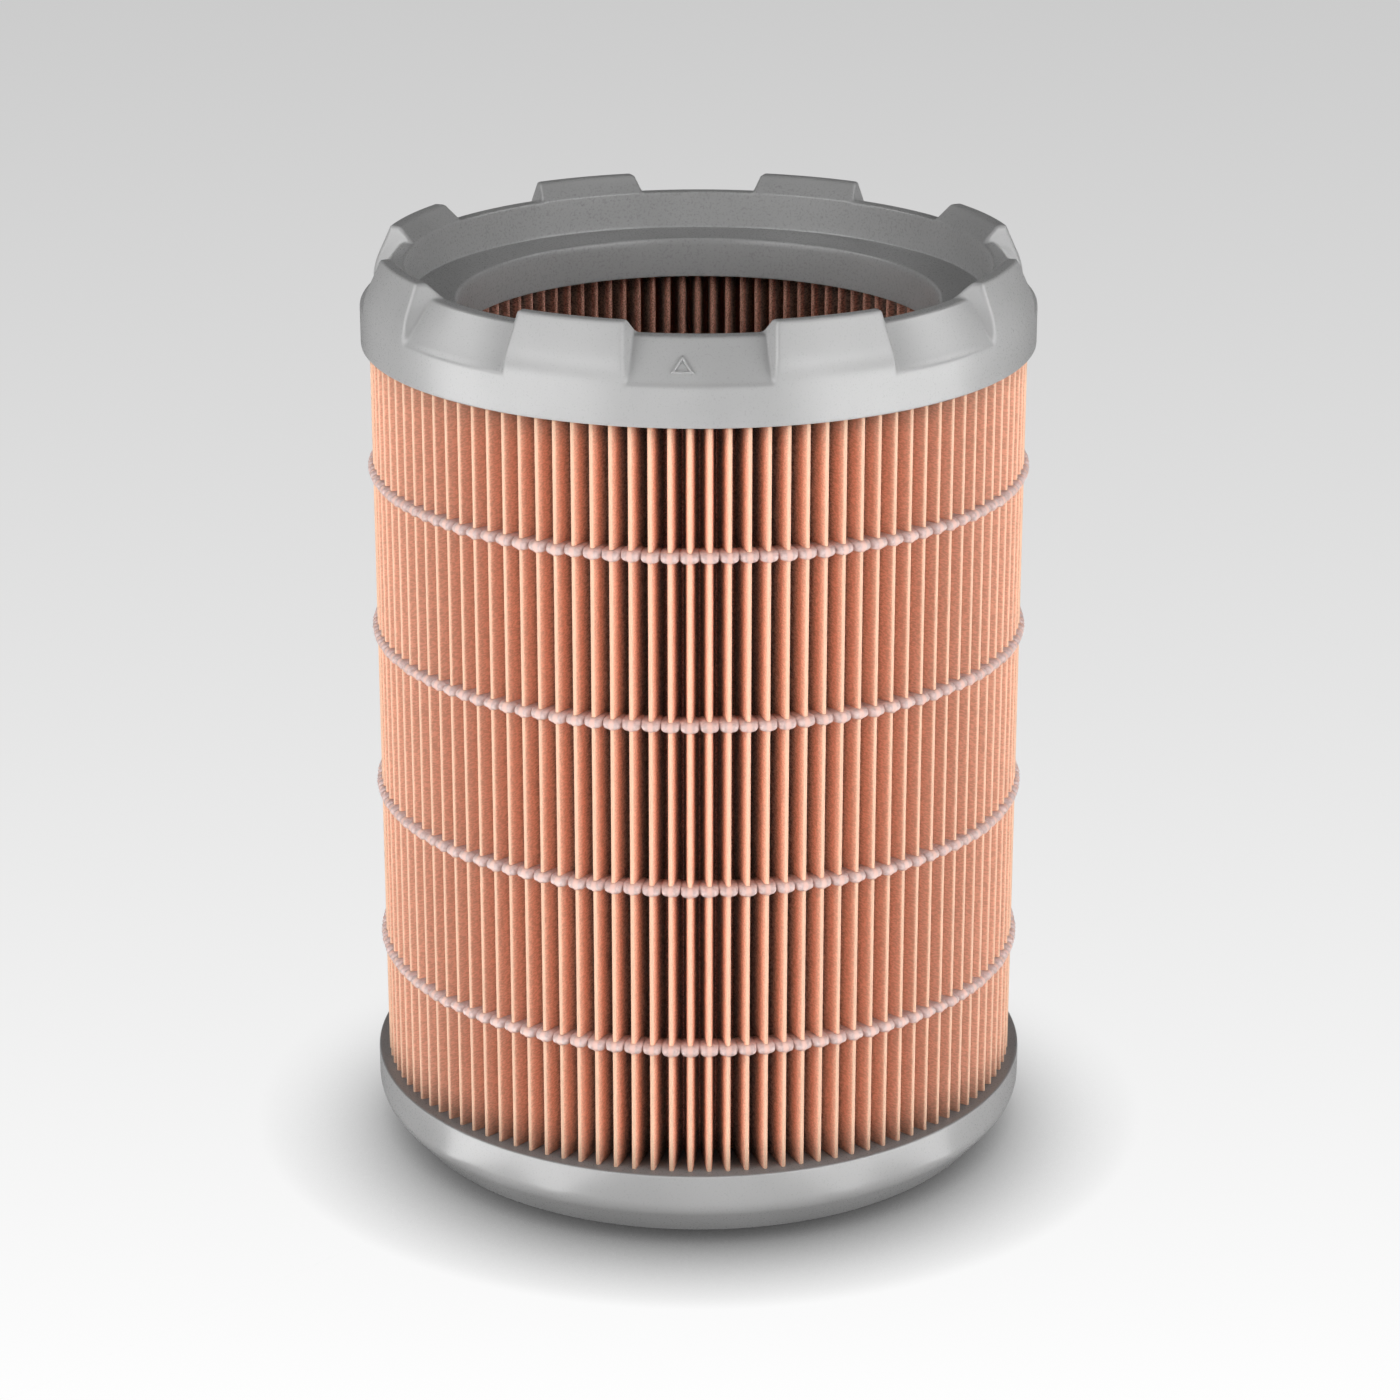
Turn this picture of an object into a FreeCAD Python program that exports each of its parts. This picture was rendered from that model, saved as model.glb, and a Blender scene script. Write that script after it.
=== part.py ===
import FreeCAD, Part
import math
import os

# Round pleated filter element: folded paper between an open and a closed moulded end cap,
# with four beads of glue round the folds and a crown of eight teeth on the open cap.
# Millimetres. +Z is the element's axis, the origin is the middle of the closed cap's flat face.

# folded media
media_radius = 80.0
pleat_count = 110
pleat_depth = 12.8
sheet_thickness = 0.6
fold_radius = 0.85
fold_sides = 3
media_length = 186.3

# closed cap, at the bottom
closed_cap_height = 18.3
closed_cap_overhang = 2.5
closed_cap_chamfer_width = 7.7
closed_cap_chamfer_height = 8.8
closed_cap_side_round = 6.4
closed_cap_floor = 8.0
closed_cap_inner_shelf = 5.0

# open cap, at the top
open_cap_overhang = 2.0
open_cap_thickness = 10.1
open_cap_side_height = 9.2
bore_radius = 58.5
bore_lip_chamfer = 0.6

# crown of the open cap, heights from the ledge that it stands on
rim_height = 9.2
rim_inset = 7.7
rim_land = 3.3
rim_wall_draft_width = 0.6
rim_foot_chamfer = 0.8
tooth_count = 8
tooth_height = 13.1
tooth_shoulder_height = 3.1
tooth_lean = 4.4
tooth_land = 2.6
tooth_top_width = 26.2
tooth_side_draft = 9.9
tooth_edge_break = 0.7

# glue beads
bead_count = 4
first_bead_height = 32.0
bead_spacing = 41.1
bead_height = 3.4
bead_thickness = 1.3

# heights and radii that follow from the sizes above
fold_inner_radius = media_radius - pleat_depth
open_cap_base = closed_cap_height + media_length
ledge_height = open_cap_base + open_cap_thickness
closed_cap_radius = media_radius + closed_cap_overhang
open_cap_radius = media_radius + open_cap_overhang
rim_outer_radius = open_cap_radius - rim_inset
rim_inner_radius = rim_outer_radius - rim_land
rim_top = ledge_height + rim_height
notch_foot = open_cap_base + open_cap_side_height
notch_slope = (rim_top - notch_foot) / rim_inset
tooth_top = ledge_height + tooth_height

# how far a cutting block runs past what it cuts
overshoot = 5.0


def unit(angle):
    return FreeCAD.Vector(math.cos(angle), math.sin(angle), 0)


def fold_points(centre, first, last):
    """Corners of the flats round one fold, from one leg's direction to the other's."""
    step = (last - first) / fold_sides
    return [centre + fold_radius * unit(first + i * step) for i in range(fold_sides + 1)]


def meet_flat(point, direction, angle, distance):
    """Where the line through point meets the flat that lies across the ray at angle."""
    ray = unit(angle)
    return point + direction * ((distance - point.dot(ray)) / direction.dot(ray))


def mirrored(point, angle):
    """The point on the other side of the ray at angle."""
    across = unit(angle + math.pi / 2)
    return point - across * (2 * point.dot(across))


def pleat_faces():
    """Outer and inner face of the sheet over one pleat, with its tip at angle 0, as points."""
    half_pitch = math.pi / pleat_count
    tip = (media_radius - fold_radius) * unit(0)
    root = (fold_inner_radius + fold_radius) * unit(half_pitch)
    span = root - tip
    middle_radius = fold_radius - sheet_thickness / 2
    leg_angle = math.atan2(span.y, span.x) + math.asin(2 * middle_radius / span.Length)
    leg = unit(leg_angle)
    side_angle = leg_angle - math.pi / 2
    side = fold_radius * unit(side_angle)
    valley = meet_flat(tip + side, leg, half_pitch, fold_inner_radius + sheet_thickness)
    hollow = meet_flat(root - side, leg, 0, media_radius - sheet_thickness)
    outer_face = fold_points(tip, -side_angle, side_angle) + [valley, mirrored(valley, half_pitch)]
    crest = math.pi + side_angle
    inner_face = [mirrored(hollow, 0), hollow] + fold_points(root, crest, 2 * (math.pi + half_pitch) - crest)
    return outer_face, inner_face


def ring_wire(points):
    """The points of one pleat repeated round the axis as one closed wire."""
    pitch = 360.0 / pleat_count
    upright = FreeCAD.Vector(0, 0, 1)
    corners = []
    for i in range(pleat_count):
        turn = FreeCAD.Rotation(upright, i * pitch)
        corners += [turn.multVec(p) for p in points]
    return Part.makePolygon(corners + corners[:1])


def pleated_media():
    outer_points, inner_points = pleat_faces()
    sheet = Part.makeFace([ring_wire(outer_points), ring_wire(inner_points)], "Part::FaceMakerBullseye")
    sheet.translate(FreeCAD.Vector(0, 0, closed_cap_height))
    return sheet.extrude(FreeCAD.Vector(0, 0, media_length))


def revolve_profile(points):
    """Solid of revolution from (radius, height) corners; a third value rounds its corner."""
    corners = [FreeCAD.Vector(p[0], 0, p[1]) for p in points]
    rounds = [p[2] if len(p) > 2 else 0 for p in points]
    starts = []
    ends = []
    arcs = []
    for i, corner in enumerate(corners):
        back = (corners[i - 1] - corner).normalize()
        ahead = (corners[(i + 1) % len(corners)] - corner).normalize()
        half = back.getAngle(ahead) / 2
        reach = rounds[i] / math.tan(half)
        starts.append(corner + back * reach)
        ends.append(corner + ahead * reach)
        if rounds[i]:
            middle = (back + ahead).normalize()
            top = corner + middle * (rounds[i] / math.sin(half) - rounds[i])
            arcs.append(Part.Arc(starts[i], top, ends[i]).toShape())
    lines = [Part.makeLine(ends[i - 1], starts[i]) for i in range(len(corners))]
    wire = Part.Wire(Part.__sortEdges__(lines + arcs))
    return Part.Face(wire).revolve(FreeCAD.Vector(0, 0, 0), FreeCAD.Vector(0, 0, 1), 360)


def closed_cap():
    well_radius = fold_inner_radius - closed_cap_inner_shelf
    return revolve_profile([
        (0, 0),
        (closed_cap_radius - closed_cap_chamfer_width, 0),
        (closed_cap_radius, closed_cap_chamfer_height, closed_cap_side_round),
        (closed_cap_radius, closed_cap_height),
        (well_radius, closed_cap_height),
        (well_radius, closed_cap_floor),
        (0, closed_cap_floor),
    ])


def crown_blank():
    """The open cap before its notches are cut: the teeth run all the way round."""
    foot_radius = rim_inner_radius - rim_wall_draft_width
    tooth_outer_radius = open_cap_radius - tooth_lean
    return revolve_profile([
        (bore_radius, open_cap_base),
        (open_cap_radius, open_cap_base),
        (open_cap_radius, ledge_height + tooth_shoulder_height),
        (tooth_outer_radius, tooth_top),
        (tooth_outer_radius - tooth_land, tooth_top),
        (rim_inner_radius, rim_top),
        (foot_radius, ledge_height + rim_foot_chamfer),
        (foot_radius - rim_foot_chamfer, ledge_height),
        (bore_radius + bore_lip_chamfer, ledge_height),
        (bore_radius, ledge_height - bore_lip_chamfer),
    ])


def tooth_block(angle):
    """Drafted block, wide enough in radius, that keeps one tooth when the notches are cut."""
    top = tooth_top + overshoot
    drop = top - open_cap_base
    top_half = tooth_top_width / 2 - overshoot * math.tan(math.radians(tooth_side_draft))
    foot_half = top_half + drop * math.tan(math.radians(tooth_side_draft))
    corners = [(-foot_half, open_cap_base), (foot_half, open_cap_base), (top_half, top), (-top_half, top)]
    points = [FreeCAD.Vector(bore_radius, y, z) for y, z in corners]
    section = Part.Face(Part.makePolygon(points + points[:1]))
    block = section.extrude(FreeCAD.Vector(open_cap_radius + overshoot - bore_radius, 0, 0))
    block.rotate(FreeCAD.Vector(0, 0, 0), FreeCAD.Vector(0, 0, 1), angle)
    return block


def notch_ring():
    """What the notches take away, before the teeth are kept: outside and above the low rim."""
    above = tooth_top + overshoot
    inside = rim_inner_radius - overshoot / 2
    return revolve_profile([
        (open_cap_radius + overshoot, notch_foot - overshoot * notch_slope),
        (open_cap_radius + overshoot, above),
        (inside, above),
        (inside, rim_top),
        (rim_outer_radius, rim_top),
    ])


def tooth_edges(cap):
    """The outer edges of the teeth's side walls: all but those where a wall meets a notch."""
    edges = []
    for wall in cap.Faces:
        if wall.Surface.TypeId != "Part::GeomPlane" or abs(wall.Surface.Axis.z) > 0.5:
            continue
        for edge in wall.Edges:
            middle = edge.valueAt((edge.FirstParameter + edge.LastParameter) / 2)
            inset = min(open_cap_radius - math.hypot(middle.x, middle.y), rim_inset)
            if middle.z > notch_foot + inset * notch_slope + tooth_edge_break:
                edges.append(edge)
    return edges


def open_cap():
    pitch = 360.0 / tooth_count
    blocks = [tooth_block((i + 0.5) * pitch) for i in range(tooth_count)]
    notches = notch_ring().cut(blocks)
    cap = crown_blank().cut(notches)
    return cap.makeChamfer(tooth_edge_break, tooth_edges(cap))


def glue_bead(index):
    """One ring of glue that rests on the crests of the outer folds."""
    crest_radius = max(point.Length for point in pleat_faces()[0])
    middle = closed_cap_height + first_bead_height + index * bead_spacing
    return revolve_profile([
        (crest_radius, middle - bead_height / 2),
        (media_radius + bead_thickness, middle),
        (crest_radius, middle + bead_height / 2),
    ])


def main():
    os.makedirs("parts", exist_ok=True)
    pieces = {
        "open_end_cap": open_cap(),
        "closed_end_cap": closed_cap(),
        "pleated_media": pleated_media(),
    }
    for i in range(bead_count):
        pieces["glue_bead_%d" % (i + 1)] = glue_bead(i)
    for name, shape in pieces.items():
        shape.exportStep("parts/%s.step" % name)
        print(name, "valid", shape.isValid(), "solids", len(shape.Solids), "volume %.0f" % shape.Volume)


main()
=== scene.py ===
import math

import bpy
import numpy as np
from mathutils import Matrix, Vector


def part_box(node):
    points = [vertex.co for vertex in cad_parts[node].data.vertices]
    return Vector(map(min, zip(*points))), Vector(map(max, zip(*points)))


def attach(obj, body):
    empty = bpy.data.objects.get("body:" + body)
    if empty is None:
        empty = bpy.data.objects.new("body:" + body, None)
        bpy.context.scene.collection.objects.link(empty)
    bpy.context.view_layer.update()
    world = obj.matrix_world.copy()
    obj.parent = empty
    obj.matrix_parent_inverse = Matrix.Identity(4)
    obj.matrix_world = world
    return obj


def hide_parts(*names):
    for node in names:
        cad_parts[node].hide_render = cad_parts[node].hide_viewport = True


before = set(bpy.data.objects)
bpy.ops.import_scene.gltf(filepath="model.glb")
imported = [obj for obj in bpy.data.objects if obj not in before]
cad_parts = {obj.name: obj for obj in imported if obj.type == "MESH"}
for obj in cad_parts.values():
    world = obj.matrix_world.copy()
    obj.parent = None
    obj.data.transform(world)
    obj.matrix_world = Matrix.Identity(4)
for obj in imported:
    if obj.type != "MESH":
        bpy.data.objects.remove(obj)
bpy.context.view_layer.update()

mm = 0.001


# a socket that reads as a number in shader maths
class Flow:
    def __init__(self, finish, socket):
        self.finish = finish
        self.socket = socket

    def maths(self, operation, *values):
        return self.finish.node("ShaderNodeMath", {"operation": operation}, dict(enumerate(values)))

    def atLeast(self, other):
        return self.maths("MAXIMUM", self, other)

    def __add__(self, other):
        return self.maths("ADD", self, other)

    def __radd__(self, other):
        return self.maths("ADD", other, self)

    def __sub__(self, other):
        return self.maths("SUBTRACT", self, other)

    def __rsub__(self, other):
        return self.maths("SUBTRACT", other, self)

    def __mul__(self, other):
        return self.maths("MULTIPLY", self, other)

    def __rmul__(self, other):
        return self.maths("MULTIPLY", other, self)

    def __truediv__(self, other):
        return self.maths("DIVIDE", self, other)

    def __rtruediv__(self, other):
        return self.maths("DIVIDE", other, self)

    def __pow__(self, other):
        return self.maths("POWER", self, other)


# the nodes of one material or world
class Finish:
    def __init__(self, owner):
        self.owner = owner
        owner.use_nodes = True
        self.tree = owner.node_tree
        self.tree.nodes.clear()

    # settings first, then values or links by socket name or number
    def node(self, kind, settings=None, sockets=None, out=0):
        made = self.tree.nodes.new(kind)
        for name, value in (settings or {}).items():
            setattr(made, name, value)
        for name, value in (sockets or {}).items():
            if isinstance(value, Flow):
                self.tree.links.new(value.socket, made.inputs[name])
            else:
                made.inputs[name].default_value = value
        return Flow(self, made.outputs[out])

    # a point on the surface in metres, or one of its coordinates
    def place(self, axis=None):
        spot = self.node("ShaderNodeTexCoord", out="Object")
        return self.node("ShaderNodeSeparateXYZ", None, {0: spot}, out=axis) if axis else spot

    def axisDistance(self):
        x, y = self.place("X"), self.place("Y")
        return (x * x + y * y) ** 0.5

    def noise(self, scale, detail=2.0, stretch=(1, 1, 1)):
        spot = self.node("ShaderNodeVectorMath", {"operation": "MULTIPLY"}, {0: self.place(), 1: stretch})
        return self.node("ShaderNodeTexNoise", None, {"Vector": spot, "Scale": scale, "Detail": detail})

    # 1 for rays of this kind and 0 for others
    def ray(self, kind):
        return self.node("ShaderNodeLightPath", out="Is %s Ray" % kind)

    # 0 at low, 1 at high, and a soft step between them
    def between(self, value, low, high):
        return self.node("ShaderNodeMapRange", {"interpolation_type": "SMOOTHSTEP"},
                         {"Value": value, "From Min": low, "From Max": high})

    def blendColour(self, amount, first, second):
        return self.node("ShaderNodeMix", {"data_type": "RGBA"}, {0: amount, 6: first, 7: second}, out=2)

    def bump(self, height, distance, strength):
        return self.node("ShaderNodeBump", None,
                         {"Height": height, "Distance": distance, "Strength": strength})

    # the finished material or world, with this shader on its surface
    def join(self, shader, end="ShaderNodeOutputMaterial"):
        self.tree.links.new(shader.socket, self.tree.nodes.new(end).inputs["Surface"])
        return self.owner


def newFinish(name):
    return Finish(bpy.data.materials.new(name))


def colour(red, green, blue):
    return (red, green, blue, 1.0)


# the light behind a screen tone of 0 to 255
def fromTone(tone):
    tone = tone / 255
    return tone / 12.92 if tone <= 0.04045 else ((tone + 0.055) / 1.055) ** 2.4


def toneColour(red, green, blue):
    return colour(fromTone(red), fromTone(green), fromTone(blue))


# points in millimetres, faces by corner number
def makePiece(name, points, faces, material, slot=None, replaces=()):
    mesh = bpy.data.meshes.new(name)
    mesh.from_pydata((np.asarray(points) * mm).tolist(), [], faces)
    mesh.polygons.foreach_set("use_smooth", [True] * len(mesh.polygons))
    mesh.materials.append(material)
    mesh.update()
    piece = bpy.data.objects.new(name, mesh)
    bpy.context.scene.collection.objects.link(piece)
    if slot:
        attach(piece, "root")
    if replaces:
        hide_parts(*replaces)
    return piece


# quads over a grid of rows by columns, numbered row by row
def gridFaces(rows, columns, wrapRows=False, wrapColumns=False, first=0):
    down = np.arange(rows if wrapRows else rows - 1)
    across = np.arange(columns if wrapColumns else columns - 1)
    down, across = np.meshgrid(down, across, indexing="ij")
    nextDown = (down + 1) % rows
    nextAcross = (across + 1) % columns
    corners = [down * columns + across, down * columns + nextAcross,
               nextDown * columns + nextAcross, nextDown * columns + across]
    return (np.stack(corners, -1).reshape(-1, 4) + first).tolist()


# sizes that the solids give, in millimetres
def boxOf(node):
    low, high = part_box(node)
    return np.array(low) / mm, np.array(high) / mm


mediaLow, mediaHigh = boxOf("pleated_media")
openLow, openHigh = boxOf("open_end_cap")
closedHigh = boxOf("closed_end_cap")[1]
tipRadius = mediaHigh[0]
openCapRadius = max(openHigh[0], openHigh[1])
closedCapRadius = closedHigh[0]


print("finishes")

capLook = {
    "grey": toneColour(169, 169, 169),
    "greyWorn": toneColour(161, 161, 161),
    "speck": toneColour(118, 118, 117),
    # shelf is the colour of the painted shade on the lower cap's top face round the folds
    "shelf": toneColour(64, 68, 70),
    "shelfPaintedShade": 0.55,
    "shelfStart": (-0.3 * mm, -0.1 * mm),
    "shelfEnd": (2.7 * mm, 3.7 * mm),
    "cloud": 28.0,
    "pore": 1700.0,
    "poreShade": 0.35,
    "grainOutside": 0.35,
    "insideRadii": (0.0725, 0.0745),
    "roughness": 0.30,
    "roughnessSpread": 0.2,
    "grain": 2400.0,
    "grainHeight": 0.00004,
}


def capFinish():
    finish = newFinish("moulded grey foam")
    cloud = finish.noise(capLook["cloud"], 3.0)
    skin = finish.blendColour(finish.between(cloud, 0.35, 0.65), capLook["greyWorn"], capLook["grey"])
    grain = finish.noise(capLook["grain"], 2.0)
    pores = finish.between(finish.noise(capLook["pore"], 1.0), 0.50, 0.72)
    inside = 1.0 - finish.between(finish.axisDistance(), *capLook["insideRadii"])
    # painted shade: the lower cap's top face round the folds is given a darker colour, standing in for the
    # shade that the folds cast on it
    aboveShelf = finish.place("Z") - closedHigh[2] * mm
    shelf = finish.between(aboveShelf, *capLook["shelfStart"])
    shelf = shelf * (1.0 - finish.between(aboveShelf, *capLook["shelfEnd"]))
    skin = finish.blendColour(shelf * capLook["shelfPaintedShade"], skin, capLook["shelf"])
    relief = capLook["grainOutside"] + inside * (1 - capLook["grainOutside"])
    shader = finish.node("ShaderNodeBsdfPrincipled", None, {
        "Base Color": finish.blendColour(pores * inside * capLook["poreShade"], skin, capLook["speck"]),
        "Roughness": capLook["roughness"] + (grain - 0.5) * capLook["roughnessSpread"],
        "Specular IOR Level": 0.5,
        "Normal": finish.bump(grain * relief, capLook["grainHeight"], 0.5),
    })
    return finish.join(shader)


paperLook = {
    # tip is a lighter cream on the fold crests, a painted highlight
    "tip": colour(0.91, 0.60, 0.425),
    "flank": colour(1.0, 0.53, 0.37),
    # deep is a darker, greyer brown further in the folds, a painted shade; inner is a salmon tone for the
    # innermost folds
    "deepShade": colour(0.55, 0.40, 0.33),
    "inner": colour(0.86, 0.44, 0.33),
    "fleckDark": 0.40,
    "tipHighlightSpan": (0.32 * mm, 0.08 * mm),
    "deepShadeSpan": (7.6 * mm, 2.3 * mm),
    "innerSpan": (11.9 * mm, 10.0 * mm),
    "fleckStrength": 0.38,
    "fleckDeepShade": 0.54,
    "fleckTip": -0.24,
    "fleckStretch": 0.4,
    "fleckShare": 0.75,
    "fleck": 2600.0,
    "fibre": 900.0,
    "roughness": 0.86,
    "bump": 0.1 * mm,
}


def paperFinish():
    finish = newFinish("salmon filter paper")
    axisDistance = finish.axisDistance()
    outer = tipRadius * mm

    # 0 further in than the first depth, 1 further out than the second
    def rising(span):
        return finish.between(axisDistance, outer - span[0], outer - span[1])

    # painted highlight: the fold crests are given a lighter cream colour and fewer dark specks, standing in
    # for the light that they catch
    tip = rising(paperLook["tipHighlightSpan"])
    # specks drawn out along the folds' depth, where they are seen edge on
    x, y, z = [finish.place(axis) for axis in "XYZ"]
    turn = y.maths("ARCTAN2", y, x)
    unrolled = finish.node("ShaderNodeCombineXYZ", None,
                           {0: axisDistance * paperLook["fleckStretch"], 1: turn * outer, 2: z})
    fleck = finish.node("ShaderNodeTexNoise", None,
                        {"Vector": unrolled, "Scale": paperLook["fleck"], "Detail": 1.0})
    fibre = finish.noise(paperLook["fibre"], 3.0, (1, 1, 0.35))
    # painted shade: further in the folds the paper is given a darker, greyer brown and more dark specks,
    # standing in for the shade between the pleats; nearest the inside it turns salmon again
    depth = 1.0 - rising(paperLook["deepShadeSpan"])
    innerFold = 1.0 - rising(paperLook["innerSpan"])
    tint = finish.blendColour(tip, paperLook["flank"], paperLook["tip"])
    tint = finish.blendColour(depth, tint, paperLook["deepShade"])
    tint = finish.blendColour(innerFold, tint, paperLook["inner"])
    share = paperLook["fleckShare"]
    shade = finish.between(fleck, 0.40, 0.60) * share + finish.between(fibre, 0.3, 0.7) * (1 - share)
    strength = paperLook["fleckStrength"] + depth * paperLook["fleckDeepShade"] + tip * paperLook["fleckTip"]
    amount = (1.0 - shade) * strength
    dark = finish.node("ShaderNodeVectorMath", {"operation": "SCALE"},
                       {0: tint, "Scale": paperLook["fleckDark"]})
    shader = finish.node("ShaderNodeBsdfPrincipled", None, {
        "Base Color": finish.blendColour(amount, tint, dark),
        "Roughness": paperLook["roughness"] + (fibre - 0.5) * 0.1,
        "Specular IOR Level": 0.12,
        "Normal": finish.bump(fleck + fibre, paperLook["bump"], 0.6),
    })
    return finish.join(shader)


glueLook = {
    "milky": colour(0.67, 0.505, 0.48),
    "shaded": colour(0.47, 0.35, 0.33),
    "overTip": colour(0.80, 0.53, 0.46),
    "roughness": 0.5,
    "cloud": 1300.0,
    "filmRadii": (0.072, 0.079),
    "scatter": 0.5,
    "scatterReach": (1.0, 0.8, 0.7),
    "scatterScale": 2.0 * mm,
}


def glueFinish():
    finish = newFinish("milky hot melt")
    film = finish.node("ShaderNodeAttribute", {"attribute_name": "film"}, out="Fac")
    cloud = finish.between(finish.noise(glueLook["cloud"]), 0.35, 0.7)
    milk = finish.blendColour(cloud * 0.6, glueLook["milky"], glueLook["shaded"])
    atTip = finish.between(finish.axisDistance(), *glueLook["filmRadii"])
    shader = finish.node("ShaderNodeBsdfPrincipled", None, {
        "Base Color": finish.blendColour(film * atTip, milk, glueLook["overTip"]),
        "Roughness": glueLook["roughness"] + (cloud - 0.5) * 0.1,
        "Coat Weight": 0.1,
        "Coat Roughness": 0.3,
        "Subsurface Weight": glueLook["scatter"],
        "Subsurface Radius": glueLook["scatterReach"],
        "Subsurface Scale": glueLook["scatterScale"],
        "Normal": finish.bump(cloud, 0.00005, 0.3),
    })
    return finish.join(shader)


capMaterial = capFinish()
paperMaterial = paperFinish()
glueMaterial = glueFinish()


print("pleated media")

mediaShape = {
    "pleats": 110,
    "depth": 12.8,
    "thickness": 0.40,
    "tipRound": 0.55,
    "rootRound": 0.58,
    "tipSteps": 8,
    "rootSteps": 5,
    "legSteps": 3,
    "levels": 20,
    "sway": 0.02,
}


def unit(angle):
    return np.array([np.cos(angle), np.sin(angle)])


# middle line of the sheet over one pleat, with the direction that its outer face looks
def pleatLine():
    halfPitch = math.pi / mediaShape["pleats"]
    tipBend = mediaShape["tipRound"] - mediaShape["thickness"] / 2
    rootBend = mediaShape["rootRound"] - mediaShape["thickness"] / 2
    tip = (tipRadius - mediaShape["tipRound"]) * unit(0)
    root = (tipRadius - mediaShape["depth"] + mediaShape["rootRound"]) * unit(halfPitch)
    span = root - tip
    legAngle = math.atan2(span[1], span[0]) + math.asin((tipBend + rootBend) / np.linalg.norm(span))
    side = legAngle - math.pi / 2
    line = [(tip + tipBend * unit(a), a) for a in np.linspace(-side, side, mediaShape["tipSteps"] + 1)]
    top, foot = tip + tipBend * unit(side), root - rootBend * unit(side)
    steps = mediaShape["legSteps"]
    line += [(top + (foot - top) * i / steps, side) for i in range(1, steps)]
    nextSide = 2 * halfPitch - side
    turns = np.linspace(side, nextSide, mediaShape["rootSteps"] + 1)
    line += [(root - rootBend * unit(a), a) for a in turns]
    nextTip = (tipRadius - mediaShape["tipRound"]) * unit(2 * halfPitch)
    nextTop, lastFoot = nextTip + tipBend * unit(nextSide), root - rootBend * unit(nextSide)
    line += [(lastFoot + (nextTop - lastFoot) * i / steps, nextSide) for i in range(1, steps)]
    return np.array([p for p, a in line]), np.array([a for p, a in line])


def turned(points, angle):
    cos, sin = np.cos(angle), np.sin(angle)
    x, y = points[..., 0], points[..., 1]
    return np.stack([x * cos - y * sin, x * sin + y * cos], -1)


def pleatedMedia():
    line, facing = pleatLine()
    pitch = 2 * math.pi / mediaShape["pleats"]
    dice = np.random.default_rng(7)
    levels = mediaShape["levels"] + 1
    heights = np.linspace(mediaLow[2], mediaHigh[2], levels)
    swayWave = dice.uniform(-1, 1, (mediaShape["pleats"], 3))
    rings = []
    for face in (0.5, -0.5):
        base = line + face * mediaShape["thickness"] * np.stack([np.cos(facing), np.sin(facing)], -1)
        outward = (np.linalg.norm(line, axis=1) - (tipRadius - mediaShape["depth"])) / mediaShape["depth"]
        rows = []
        for k, height in enumerate(heights):
            along = k / (levels - 1)
            row = []
            for i in range(mediaShape["pleats"]):
                wave = sum(swayWave[i, n] * math.sin((n + 1) * math.pi * along) for n in range(3))
                lean = mediaShape["sway"] * wave * outward / tipRadius
                row.append(turned(base, i * pitch + lean))
            row = np.concatenate(row)
            rows.append(np.column_stack([row, np.full(len(row), height)]))
        rings.append(np.array(rows))
    outer, inner = rings
    columns = outer.shape[1]
    count = levels * columns
    points = np.concatenate([outer.reshape(-1, 3), inner.reshape(-1, 3)])
    faces = gridFaces(levels, columns, wrapColumns=True)
    faces += [q[::-1] for q in gridFaces(levels, columns, wrapColumns=True, first=count)]
    last = (levels - 1) * columns
    for i in range(columns):
        j = (i + 1) % columns
        faces.append([count + i, count + j, j, i])
        faces.append([last + i, last + j, count + last + j, count + last + i])
    makePiece("pleat_pack", points, faces, paperMaterial, "filter_paper", ["pleated_media"])


pleatedMedia()


print("glue beads")

beadShape = {
    "count": 4,
    "bulgeAcross": 1.25,
    "bulgeProud": 1.25,
    "filmProud": 1.0,
    "creaseProud": -1.1,
    "above": 1.25,
    "aboveCrease": 0.80,
    "below": 1.6,
    "belowCrease": 0.30,
    "drop": 0.15,
    "reach": 7.0,
    "coreDepth": 0.9,
    "sink": 0.2,
    "flankRise": 0.074,
    "filmWidth": 0.8,
    "plumpSpread": 0.05,
    "dropSpread": 0.12,
    "steps": [0.0, 0.2, 0.38, 0.50, 0.60, 0.70, 0.82, 1.0, 1.2, 1.45, 1.7, 1.92, 2.08, 2.2],
    "around": 12,
}


# one blob on each tip: a film over the paper between two bulges, with a crease to the next blob;
# how far it stands out, and its height above and below the middle
def beadSection(across, halfGap):
    shape = beadShape
    if across < shape["bulgeAcross"]:
        share = across / shape["bulgeAcross"]
        share = share * share * (3 - 2 * share)
        proud = shape["filmProud"] * (1 - share) + shape["bulgeProud"] * share
    else:
        fall = (across - shape["bulgeAcross"]) / (halfGap - shape["bulgeAcross"])
        share = math.sqrt(max(0.0, 1 - fall ** 2))
        proud = shape["creaseProud"] * (1 - share) + shape["bulgeProud"] * share
    full = math.sqrt(max(0.0, 1 - (across / halfGap) ** 2))
    above = shape["aboveCrease"] + (shape["above"] - shape["aboveCrease"]) * full
    below = shape["belowCrease"] + (shape["below"] - shape["belowCrease"]) * full
    return proud, above, below


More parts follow.
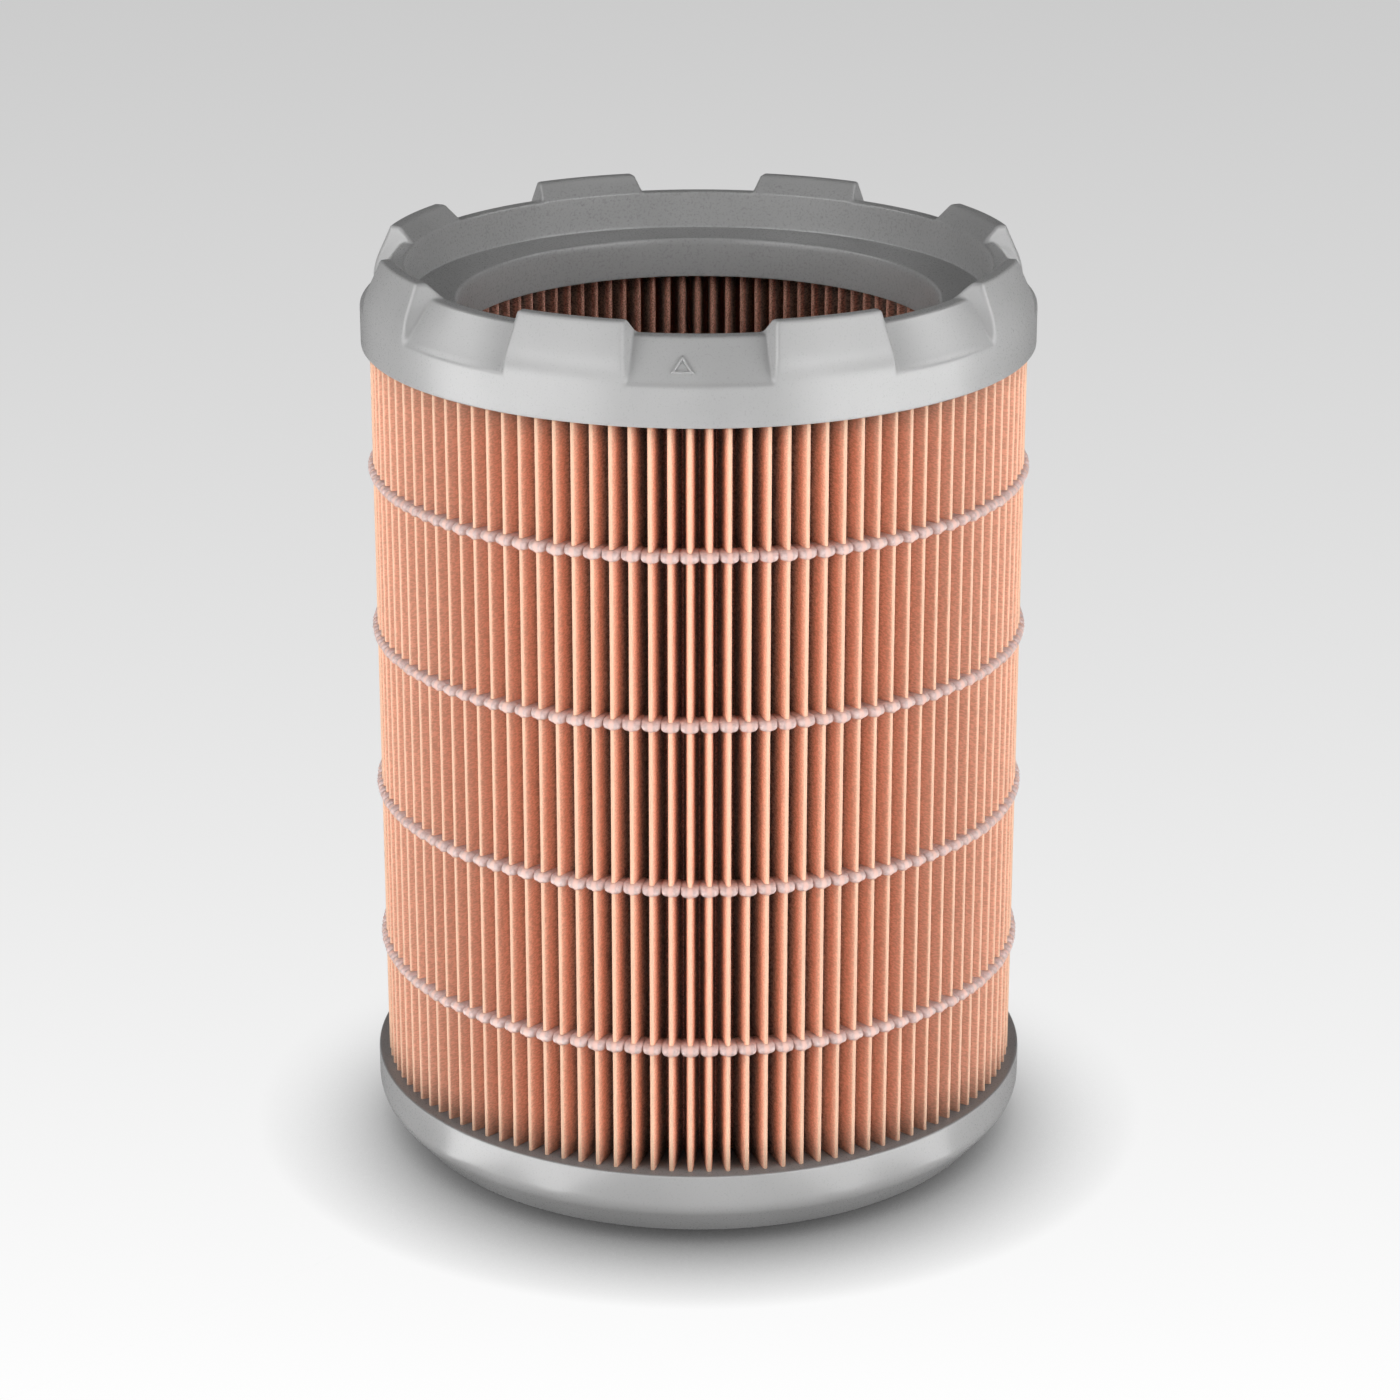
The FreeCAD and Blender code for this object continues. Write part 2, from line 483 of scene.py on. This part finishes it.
def glueBead(index):
    low, high = boxOf("glue_bead_%d" % (index + 1))
    middle = (low[2] + high[2]) / 2 - beadShape["drop"]
    fold = mediaShape["tipRound"]
    pitch = 2 * math.pi / mediaShape["pleats"]
    halfGap = tipRadius * pitch / 2
    offsets = beadShape["steps"] + [halfGap]
    offsets = [-s for s in offsets[:0:-1]] + offsets[:-1]
    dice = np.random.default_rng(30 + index)
    phases = np.linspace(0, 2 * math.pi, beadShape["around"], endpoint=False)
    points = []
    film = []
    for i in range(mediaShape["pleats"]):
        plump = 1 + beadShape["plumpSpread"] * dice.uniform(-1, 1, 2)
        drop = beadShape["dropSpread"] * dice.uniform(-1, 1)
        for s in offsets:
            across = abs(s)
            which = plump[0 if s < 0 else 1]
            onTip = across < fold
            proud, above, below = beadSection(across, halfGap)
            tipFace = tipRadius - fold + math.sqrt(max(fold ** 2 - across ** 2, 0.0))
            outer = tipRadius + (proud * which if proud > 0 else proud)
            middleRadius = tipFace if onTip else tipRadius - beadShape["coreDepth"]
            inner = tipFace - beadShape["sink"] if onTip else tipRadius - beadShape["reach"]
            share = 0.0 if onTip else (across - fold) / (halfGap - fold)
            for phase in phases:
                c, sn = math.cos(phase), math.sin(phase)
                radius = middleRadius + (outer - middleRadius if c > 0 else middleRadius - inner) * c
                if onTip:
                    side = across
                else:
                    flank = fold + max(tipRadius - fold - radius, 0.0) * beadShape["flankRise"]
                    gap = radius * pitch / 2
                    side = flank + share * (gap - flank)
                angle = i * pitch + math.copysign(side, s) / max(radius, 1.0)
                height = middle + drop + (above if sn > 0 else below) * which * sn
                points.append([radius * math.cos(angle), radius * math.sin(angle), height])
                film.append(max(0.0, 1 - (across / beadShape["filmWidth"]) ** 3))
    columns = len(offsets) * mediaShape["pleats"]
    faces = gridFaces(columns, beadShape["around"], wrapRows=True, wrapColumns=True)
    name = "glue_string_%d" % (index + 1)
    piece = makePiece(name, points, faces, glueMaterial, "hot_melt", ["glue_bead_%d" % (index + 1)])
    layer = piece.data.attributes.new("film", "FLOAT", "POINT")
    layer.data.foreach_set("value", film)


for beadIndex in range(beadShape["count"]):
    glueBead(beadIndex)


print("end caps")


# rounded joins of two distance fields, negative inside
def roundMax(a, b, radius):
    corner = np.hypot(np.maximum(a + radius, 0), np.maximum(b + radius, 0))
    return np.minimum(-radius, np.maximum(a, b)) + corner


def roundMin(a, b, radius):
    return -roundMax(-a, -b, radius)


# moves the points along a distance field's slope until they lie on its surface
def settle(points, field, rounds=8):
    points = np.array(points, float)
    reach = 0.001
    for _ in range(rounds):
        value = field(points)
        slope = np.stack([(field(points + step) - field(points - step)) / (2 * reach)
                          for step in np.eye(3) * reach], -1)
        points -= slope * (value / np.maximum((slope ** 2).sum(-1), 0.05))[..., None]
    return points


# distances either side of the keys where an edge is rounded, and even steps elsewhere
def clustered(low, high, keys, offsets, widest, closest=0.06):
    marks = {low, high}
    for key in keys:
        for offset in offsets:
            for mark in (key - offset, key + offset):
                if low < mark < high:
                    marks.add(mark)
    marks = sorted(marks)
    kept = [marks[0]]
    for mark in marks[1:]:
        if mark - kept[-1] > closest:
            kept.append(mark)
    kept[-1] = marks[-1]
    filled = [kept[0]]
    for mark in kept[1:]:
        parts = max(1, math.ceil((mark - filled[-1]) / widest))
        start = filled[-1]
        filled += [start + (mark - start) * n / parts for n in range(1, parts + 1)]
    return filled


crown = {
    "bore": 58.5,
    "thickness": 10.1,
    "teeth": 8,
    "toothHeight": 13.1,
    "shoulder": 3.1,
    "lean": 4.4,
    "land": 2.6,
    "halfTooth": 13.1,
    "sideDraft": math.tan(math.radians(9.9)),
    "rimHeight": 9.2,
    "rimInset": 7.7,
    "rimLand": 3.3,
    "wallDraft": 0.6,
    "notchFoot": 9.2,
    "toothEdge": 0.9,
    "topEdge": 0.5,
    "lipEdge": 0.7,
    "ledgeCorner": 0.3,
    "innerCorner": 0.6,
    "softEdge": 1.2,
    "footEdge": 0.3,
}


# the open cap as levels over a radius and as one distance field; base and radius come from the solid
class Crown:
    def __init__(self, base, radius, shape):
        self.base, self.radius, self.shape = base, radius, shape
        self.pitch = 2 * math.pi / shape["teeth"]
        self.ledge = base + shape["thickness"]
        self.toothTop = self.ledge + shape["toothHeight"]
        self.rimTop = self.ledge + shape["rimHeight"]
        self.rimOuter = radius - shape["rimInset"]
        self.rimInner = self.rimOuter - shape["rimLand"]
        self.toothOuter = radius - shape["lean"]
        self.toothInner = self.toothOuter - shape["land"]
        self.leanRise = (shape["toothHeight"] - shape["shoulder"]) / shape["lean"]
        self.foot = base + shape["notchFoot"]
        self.notchRise = (self.rimTop - self.foot) / shape["rimInset"]
        self.innerRise = (self.toothTop - self.rimTop) / (self.toothInner - self.rimInner)

    def toothLevel(self, r):
        lean = self.ledge + self.shape["shoulder"] + (self.radius - r) * self.leanRise
        inner = self.rimTop + (r - self.rimInner) * self.innerRise
        return np.minimum(np.minimum(lean, inner), self.toothTop)

    def notchLevel(self, r):
        return np.minimum(self.foot + (self.radius - r) * self.notchRise, self.rimTop)

    # height of the outer surface at radius r, for a row of angles
    def surfaceLevel(self, r, angles):
        y = np.abs(r * np.sin(np.mod(angles, self.pitch) - self.pitch / 2))
        sideLevel = self.toothTop - (y - self.shape["halfTooth"]) / self.shape["sideDraft"]
        return np.maximum(self.notchLevel(r), np.minimum(self.toothLevel(r), sideLevel))

    # distance to the cap's surface, negative inside
    def field(self, points):
        shape = self.shape
        r = np.hypot(points[..., 0], points[..., 1])
        z = points[..., 2]
        angle = np.arctan2(points[..., 1], points[..., 0])
        fromTooth = np.mod(angle, self.pitch) - self.pitch / 2
        across = np.abs(r * np.sin(fromTooth))
        lean = z - self.ledge - shape["shoulder"] - (self.radius - r) * self.leanRise
        lean /= math.hypot(1, self.leanRise)
        inner = (z - self.rimTop - (r - self.rimInner) * self.innerRise) / math.hypot(1, self.innerRise)
        side = across - shape["halfTooth"] - (self.toothTop - z) * shape["sideDraft"]
        side /= math.hypot(1, shape["sideDraft"])
        tooth = roundMax(lean, z - self.toothTop, shape["topEdge"])
        tooth = roundMax(tooth, inner, shape["topEdge"])
        tooth = roundMax(tooth, side, shape["toothEdge"])
        pocket = (z - self.foot - (self.radius - r) * self.notchRise) / math.hypot(1, self.notchRise)
        notch = roundMax(pocket, z - self.rimTop, shape["topEdge"])
        teeth = roundMin(tooth, notch, shape["innerCorner"])
        draft = shape["wallDraft"] / shape["rimHeight"]
        wall = (self.rimInner - (self.rimTop - z) * draft - r) / math.hypot(1, draft)
        teeth = roundMax(teeth, wall, shape["topEdge"])
        body = roundMin(teeth, z - self.ledge, shape["ledgeCorner"])
        body = roundMax(body, r - self.radius, shape["softEdge"])
        body = roundMax(body, shape["bore"] - r, shape["lipEdge"])
        return roundMax(body, self.base - z, shape["footEdge"])

    # angles from a tooth's middle to the next notch's middle, at radius r
    def columns(self, r):
        shape = self.shape
        r = max(r, self.rimInner)
        top = shape["halfTooth"] + (self.toothTop - self.toothLevel(r)) * shape["sideDraft"]
        foot = shape["halfTooth"] + (self.toothTop - self.notchLevel(r)) * shape["sideDraft"]
        foot = max(foot, top + 0.35)
        ys = [top * f for f in (0, 0.2, 0.4, 0.6, 0.75)]
        ys += [top - d for d in (2.2, 1.5, 1.1, 0.8, 0.55, 0.35, 0.15)]
        ys += [top + (foot - top) * f for f in (0, 0.1, 0.25, 0.45, 0.65, 0.82, 0.94, 1)]
        ys += [foot + d for d in (0.12, 0.25, 0.4, 0.6, 0.85, 1.2, 1.8)]
        angles = [math.asin(y / r) for y in ys]
        last = math.pi / shape["teeth"]
        gap = last - angles[-1]
        return np.array(angles + [angles[-1] + gap * f for f in (0.2, 0.45, 0.7, 1)])


def openCap():
    cap = Crown(openLow[2], openCapRadius, crown)
    keys = [cap.radius, cap.toothOuter, cap.toothInner, cap.rimOuter, cap.rimInner]
    offsets = (0, 0.12, 0.25, 0.4, 0.6, 0.9, 1.3)
    topRadii = clustered(cap.rimInner, cap.radius, keys, offsets, 1.0)[::-1]

    def ringAngles(atRadius, toward=None, share=0.0):
        part = cap.columns(atRadius)
        if toward is not None:
            part = part * (1 - share) + cap.columns(toward) * share
        signed = np.concatenate([-part[:0:-1], part[:-1]])
        return np.concatenate([signed + (n + 0.5) * cap.pitch for n in range(crown["teeth"])])

    rows = []

    def addRow(radius, height, angles):
        radius = np.broadcast_to(radius, angles.shape)
        height = np.broadcast_to(height, angles.shape)
        rows.append(np.stack([radius * np.cos(angles), radius * np.sin(angles), height], -1))

    underside = clustered(crown["bore"], cap.radius, [crown["bore"], cap.radius],
                          (0, 0.1, 0.2, 0.4, 1.0), 4.0)
    for r in underside:
        share = (r - crown["bore"]) / (cap.radius - crown["bore"])
        addRow(r, cap.base, ringAngles(cap.rimInner, cap.radius, share))
    outerAngles = ringAngles(cap.radius)
    edge = cap.surfaceLevel(cap.radius, outerAngles)
    for f in (0.01, 0.02, 0.05, 0.15, 0.3, 0.45, 0.6, 0.7, 0.78, 0.85, 0.91, 0.96):
        addRow(cap.radius, cap.base + (edge - cap.base) * f, outerAngles)
    for r in topRadii:
        angles = ringAngles(r)
        addRow(r, cap.surfaceLevel(r, angles), angles)
    innerAngles = ringAngles(cap.rimInner)
    for f in (0.02, 0.05, 0.1, 0.25, 0.5, 0.75, 0.88, 0.94, 0.98):
        addRow(cap.rimInner - crown["wallDraft"] * f, cap.rimTop + (cap.ledge - cap.rimTop) * f, innerAngles)
    footRadius = cap.rimInner - crown["wallDraft"]
    ledge = clustered(crown["bore"], footRadius, [crown["bore"], footRadius],
                      (0, 0.1, 0.2, 0.35, 0.6, 1.0), 2.5)
    for r in ledge[::-1]:
        addRow(r, cap.ledge, innerAngles)
    for f in (0.01, 0.025, 0.05, 0.2, 0.5, 0.8, 0.96, 0.985):
        addRow(crown["bore"], cap.ledge + (cap.base - cap.ledge) * f, innerAngles)
    points = settle(np.array(rows), cap.field)
    count, columns = points.shape[:2]
    faces = gridFaces(count, columns, wrapRows=True, wrapColumns=True)
    makePiece("crown_cap", points.reshape(-1, 3), [q[::-1] for q in faces], capMaterial,
              "moulded_cap", ["open_end_cap"])


openCap()

floorCap = {
    "chamferWidth": 7.7,
    "chamferHeight": 8.8,
    "sideRound": 6.4,
    "footRound": 1.0,
    "rimRound": 0.5,
    "floor": 8.0,
    "shelf": 5.0,
    "around": 360,
}


# corners of a profile as (radius, height, round), each round an arc of short steps
def roundedProfile(corners, stepAngle=0.12):
    line = []
    for i, (r, z, rounding) in enumerate(corners):
        here = np.array([r, z])
        back = np.array(corners[i - 1][:2]) - here
        ahead = np.array(corners[(i + 1) % len(corners)][:2]) - here
        back /= np.linalg.norm(back)
        ahead /= np.linalg.norm(ahead)
        if rounding == 0:
            line.append(here)
            continue
        half = math.acos(np.clip(back @ ahead, -1, 1)) / 2
        middle = (back + ahead) / np.linalg.norm(back + ahead)
        centre = here + middle * rounding / math.sin(half)
        start = here + back * rounding / math.tan(half) - centre
        end = here + ahead * rounding / math.tan(half) - centre
        sweep = math.pi - 2 * half
        steps = max(2, math.ceil(sweep / stepAngle))
        for n in range(steps + 1):
            t = n / steps
            a, b = math.sin((1 - t) * sweep) / math.sin(sweep), math.sin(t * sweep) / math.sin(sweep)
            line.append(centre + a * start + b * end)
    return line


def closedCap():
    shape = floorCap
    well = tipRadius - mediaShape["depth"] - shape["shelf"]
    top = closedHigh[2]
    corners = [
        (closedCapRadius - shape["chamferWidth"], 0, shape["footRound"]),
        (closedCapRadius, shape["chamferHeight"], shape["sideRound"]),
        (closedCapRadius, top, shape["rimRound"]),
        (well, top, shape["rimRound"]),
        (well, shape["floor"], shape["rimRound"]),
        (0, shape["floor"], 0),
        (0, 0, 0),
    ]
    line = roundedProfile(corners)[:-2]
    angles = np.linspace(0, 2 * math.pi, shape["around"], endpoint=False)
    # even rings on the two flat faces, so that shading stays smooth
    foot = [np.array([line[0][0] * f, 0.0]) for f in (0.1, 0.4, 0.7, 0.9)]
    floor = [np.array([line[-1][0] * f, shape["floor"]]) for f in (0.9, 0.6, 0.3, 0.1)]
    line = foot + line + floor
    points = [[r * np.cos(angles), r * np.sin(angles), np.full(len(angles), z)] for r, z in line]
    points = np.array(points).transpose(0, 2, 1).reshape(-1, 3)
    count = shape["around"]
    faces = gridFaces(len(line), count, wrapColumns=True)
    points = np.concatenate([points, [[0, 0, 0], [0, 0, shape["floor"]]]])
    underMiddle, floorMiddle = len(points) - 2, len(points) - 1
    last = (len(line) - 1) * count
    faces += [[underMiddle, (i + 1) % count, i] for i in range(count)]
    faces += [[last + i, last + (i + 1) % count, floorMiddle] for i in range(count)]
    makePiece("closed_cap_shell", points, faces, capMaterial, "moulded_cap", ["closed_end_cap"])


closedCap()


print("raised mark")

markShape = {
    "across": -3.9,
    "upSlope": 3.65,
    "width": 5.4,
    "height": 4.5,
    "stroke": 0.62,
    "proud": 0.45,
    "sink": 0.10,
    "stepsPerSide": 12,
}


# a plain triangle outline that stands out of the front notch's slope
def raisedMark():
    cap = Crown(openLow[2], openCapRadius, crown)
    slope = math.atan2(cap.rimTop - cap.foot, crown["rimInset"])
    half, tall, stroke = markShape["width"] / 2, markShape["height"], markShape["stroke"]
    outline = np.array([[-half, 0], [half, 0], [0, tall]])

    def inset(distance):
        inner = 2 * half * tall / (2 * half + 2 * math.hypot(half, tall))
        middle = np.array([0, inner])
        return middle + (outline - middle) * (1 - distance / inner)

    # distance in from the outline, and height over the slope
    rising = [(0.0, -markShape["sink"]), (0.05, markShape["proud"] * 0.7), (0.16, markShape["proud"])]
    layers = rising + [(stroke - distance, lift) for distance, lift in rising[::-1]]
    steps = markShape["stepsPerSide"]
    points = []
    for distance, lift in layers:
        corners = inset(distance)
        for i in range(3):
            for n in range(steps):
                u, v = corners[i] + (corners[(i + 1) % 3] - corners[i]) * n / steps
                v += markShape["upSlope"]
                radius = cap.radius - v * math.cos(slope) + lift * math.sin(slope)
                height = cap.foot + v * math.sin(slope) + lift * math.cos(slope)
                angle = -math.pi / 2 + (u + markShape["across"]) / radius
                points.append([radius * math.cos(angle), radius * math.sin(angle), height])
    faces = gridFaces(len(layers), 3 * steps, wrapRows=True, wrapColumns=True)
    makePiece("triangle_mark", points, faces, capMaterial, "moulded_cap")


raisedMark()


print("floor, camera and light")

floorLook = {
    "size": 12.0,
    "farTone": 0.693,
    "fall": 0.289,
    "start": 1.111,
    "nearest": -0.16,
    "shadowReach": 0.034,
    "shadowLean": 0.8,
    "shadowDepth": 1.2,
    "glossShare": 0.15,
    "bounceShare": 0.28,
    "lit": colour(0.25, 0.25, 0.25),
}


# brightness that the camera sees at this distance behind the object
def seenLevel(away):
    away = away.atLeast(floorLook["nearest"])
    tone = floorLook["farTone"] + floorLook["fall"] / (away + floorLook["start"])
    return ((tone + 0.055) / 1.055) ** 2.4


def floorFinish():
    finish = newFinish("pale studio floor")
    level = seenLevel(finish.place("Y"))
    # the open sky over each point, leaning back so that the shadow reaches further to the front
    upright = finish.node("ShaderNodeNewGeometry", out="Normal")
    leaning = finish.node("ShaderNodeVectorMath", {"operation": "ADD"},
                          {0: upright, 1: (0, floorLook["shadowLean"], 0)})
    leaning = finish.node("ShaderNodeVectorMath", {"operation": "NORMALIZE"}, {0: leaning})
    openSky = finish.node("ShaderNodeAmbientOcclusion", {"samples": 16},
                          {"Distance": floorLook["shadowReach"], "Normal": leaning}, out="AO")
    seen = finish.node("ShaderNodeEmission", None, {"Color": level * openSky ** floorLook["shadowDepth"]})
    lit = finish.node("ShaderNodeBsdfDiffuse", None, {"Color": floorLook["lit"]})
    direct = finish.ray("Camera").atLeast(finish.ray("Transmission"))
    direct = direct.atLeast(finish.ray("Glossy") * floorLook["glossShare"])
    direct = direct.atLeast(finish.ray("Diffuse") * floorLook["bounceShare"])
    return finish.join(finish.node("ShaderNodeMixShader", None, {0: direct, 1: lit, 2: seen}))


def studioFloor():
    half = floorLook["size"] / 2 / mm
    corners = [[-half, -half, 0], [half, -half, 0], [half, half, 0], [-half, half, 0]]
    makePiece("studio_floor", corners, [[0, 1, 2, 3]], floorFinish())


studioFloor()

worldLook = {"glow": 0.12}


# a dim room for the light; past the floor the camera sees the tone of the floor's edge carried on
def worldFinish():
    finish = Finish(bpy.data.worlds.new("soft room"))
    room = finish.node("ShaderNodeBackground", None,
                       {"Color": colour(1, 1, 1), "Strength": worldLook["glow"]})
    gaze = finish.node("ShaderNodeTexCoord", out="Generated")
    x, y = [finish.node("ShaderNodeSeparateXYZ", None, {0: gaze}, out=axis) for axis in "XY"]
    away = y / (x * x + y * y) ** 0.5 * (floorLook["size"] / 2)
    seen = finish.node("ShaderNodeBackground", None, {"Color": seenLevel(away)})
    direct = finish.ray("Camera").atLeast(finish.ray("Transmission"))
    mixed = finish.node("ShaderNodeMixShader", None, {0: direct, 1: room, 2: seen})
    return finish.join(mixed, "ShaderNodeOutputWorld")


bpy.context.scene.world = worldFinish()

# soft panels low beside the object, so that the caps' sides are bright and their tops stay dark;
# span is from and to as angles round the axis from the front, and levels as heights; each panel
# has its twin on the left, and one that is "only" for gloss or for plain light gives no more than that
panelSet = {
    "front fill": {"span": (0, 26), "levels": (0.0, 0.30), "distance": 0.55, "glow": 0.49},
    "front low": {"span": (31, 45), "levels": (0.0, 0.13), "distance": 0.55, "glow": 5.8},
    "front middle": {"span": (31, 45), "levels": (0.13, 0.26), "distance": 0.55, "glow": 1.2},
    "side low": {"span": (45, 68), "levels": (0.0, 0.13), "distance": 0.55, "glow": 7.5},
    "strip low": {"span": (68, 93), "levels": (0.0, 0.13), "distance": 0.55, "glow": 6.0, "only": "gloss"},
    "front high": {"span": (25, 75), "levels": (0.27, 0.55), "distance": 0.60, "glow": 4.35},
    "side high": {"span": (88, 114), "levels": (0.54, 0.82), "distance": 0.60, "glow": 5.6, "only": "gloss"},
    "back fill": {"span": (125, 180), "levels": (0.12, 0.50), "distance": 0.65, "glow": 1.1, "only": "plain"},
}
# cards that lie on the floor outside the lower cap, for the gloss on its side; x from near to far,
# y from front to back, and a glow for the right and for the left
cardSet = {
    "lift": 0.0005,
    "glow": {1: 3.1, -1: 4.9},
    "cards": [{"near": 0.045, "far": 0.30, "front": -0.20, "back": -0.080},
              {"near": 0.073, "far": 0.30, "front": -0.080, "back": -0.050}],
}


def addLamp(name, place, facing, size, glow, only=None):
    lamp = bpy.data.lights.new(name, "AREA")
    lamp.shape = "RECTANGLE"
    lamp.size, lamp.size_y = size
    lamp.energy = glow * math.pi * size[0] * size[1]
    holder = bpy.data.objects.new(name, lamp)
    bpy.context.scene.collection.objects.link(holder)
    holder.location = place
    holder.rotation_euler = Vector(facing).to_track_quat("-Z", "Y").to_euler()
    holder.visible_camera = False
    holder.visible_diffuse = only != "gloss"
    holder.visible_glossy = only != "plain"


def addPanel(name, side, span, levels, distance, glow, only=None):
    turn, half = math.radians((span[0] + span[1]) / 2), math.radians((span[1] - span[0]) / 2)
    x, y = side * distance * math.sin(turn), -distance * math.cos(turn)
    size = (2 * distance * math.tan(half), levels[1] - levels[0])
    addLamp(name, (x, y, (levels[0] + levels[1]) / 2), (-x, -y, 0), size, glow, only)


def addCard(card, side, glow):
    place = (side * (card["near"] + card["far"]) / 2, (card["front"] + card["back"]) / 2, cardSet["lift"])
    size = (card["far"] - card["near"], card["back"] - card["front"])
    addLamp("floor card", place, (0, 0, 1), size, glow, "gloss")


for panelName, panelFacts in panelSet.items():
    addPanel(panelName + " right", 1, **panelFacts)
    addPanel(panelName + " left", -1, **panelFacts)
for cardSide, cardGlow in cardSet["glow"].items():
    for cardFacts in cardSet["cards"]:
        addCard(cardFacts, cardSide, cardGlow)

cameraSet = {
    "distance": 1.0056,
    "elevation": 20.08,
    "turn": -0.2,
    "target": 0.110,
    "lens": 102.8,
    "shift": 0.001,
}


def addCamera():
    data = bpy.data.cameras.new("camera")
    data.sensor_width = 36.0
    data.lens = cameraSet["lens"]
    data.shift_x = cameraSet["shift"]
    data.clip_end = 50
    holder = bpy.data.objects.new("camera", data)
    bpy.context.scene.collection.objects.link(holder)
    tilt, turn = math.radians(cameraSet["elevation"]), math.radians(cameraSet["turn"])
    target = Vector((0, 0, cameraSet["target"]))
    toCamera = Vector((math.sin(turn) * math.cos(tilt), -math.cos(turn) * math.cos(tilt), math.sin(tilt)))
    holder.location = target + toCamera * cameraSet["distance"]
    holder.rotation_euler = (-toCamera).to_track_quat("-Z", "Y").to_euler()
    bpy.context.scene.camera = holder


addCamera()
bpy.context.scene.view_settings.view_transform = "Standard"
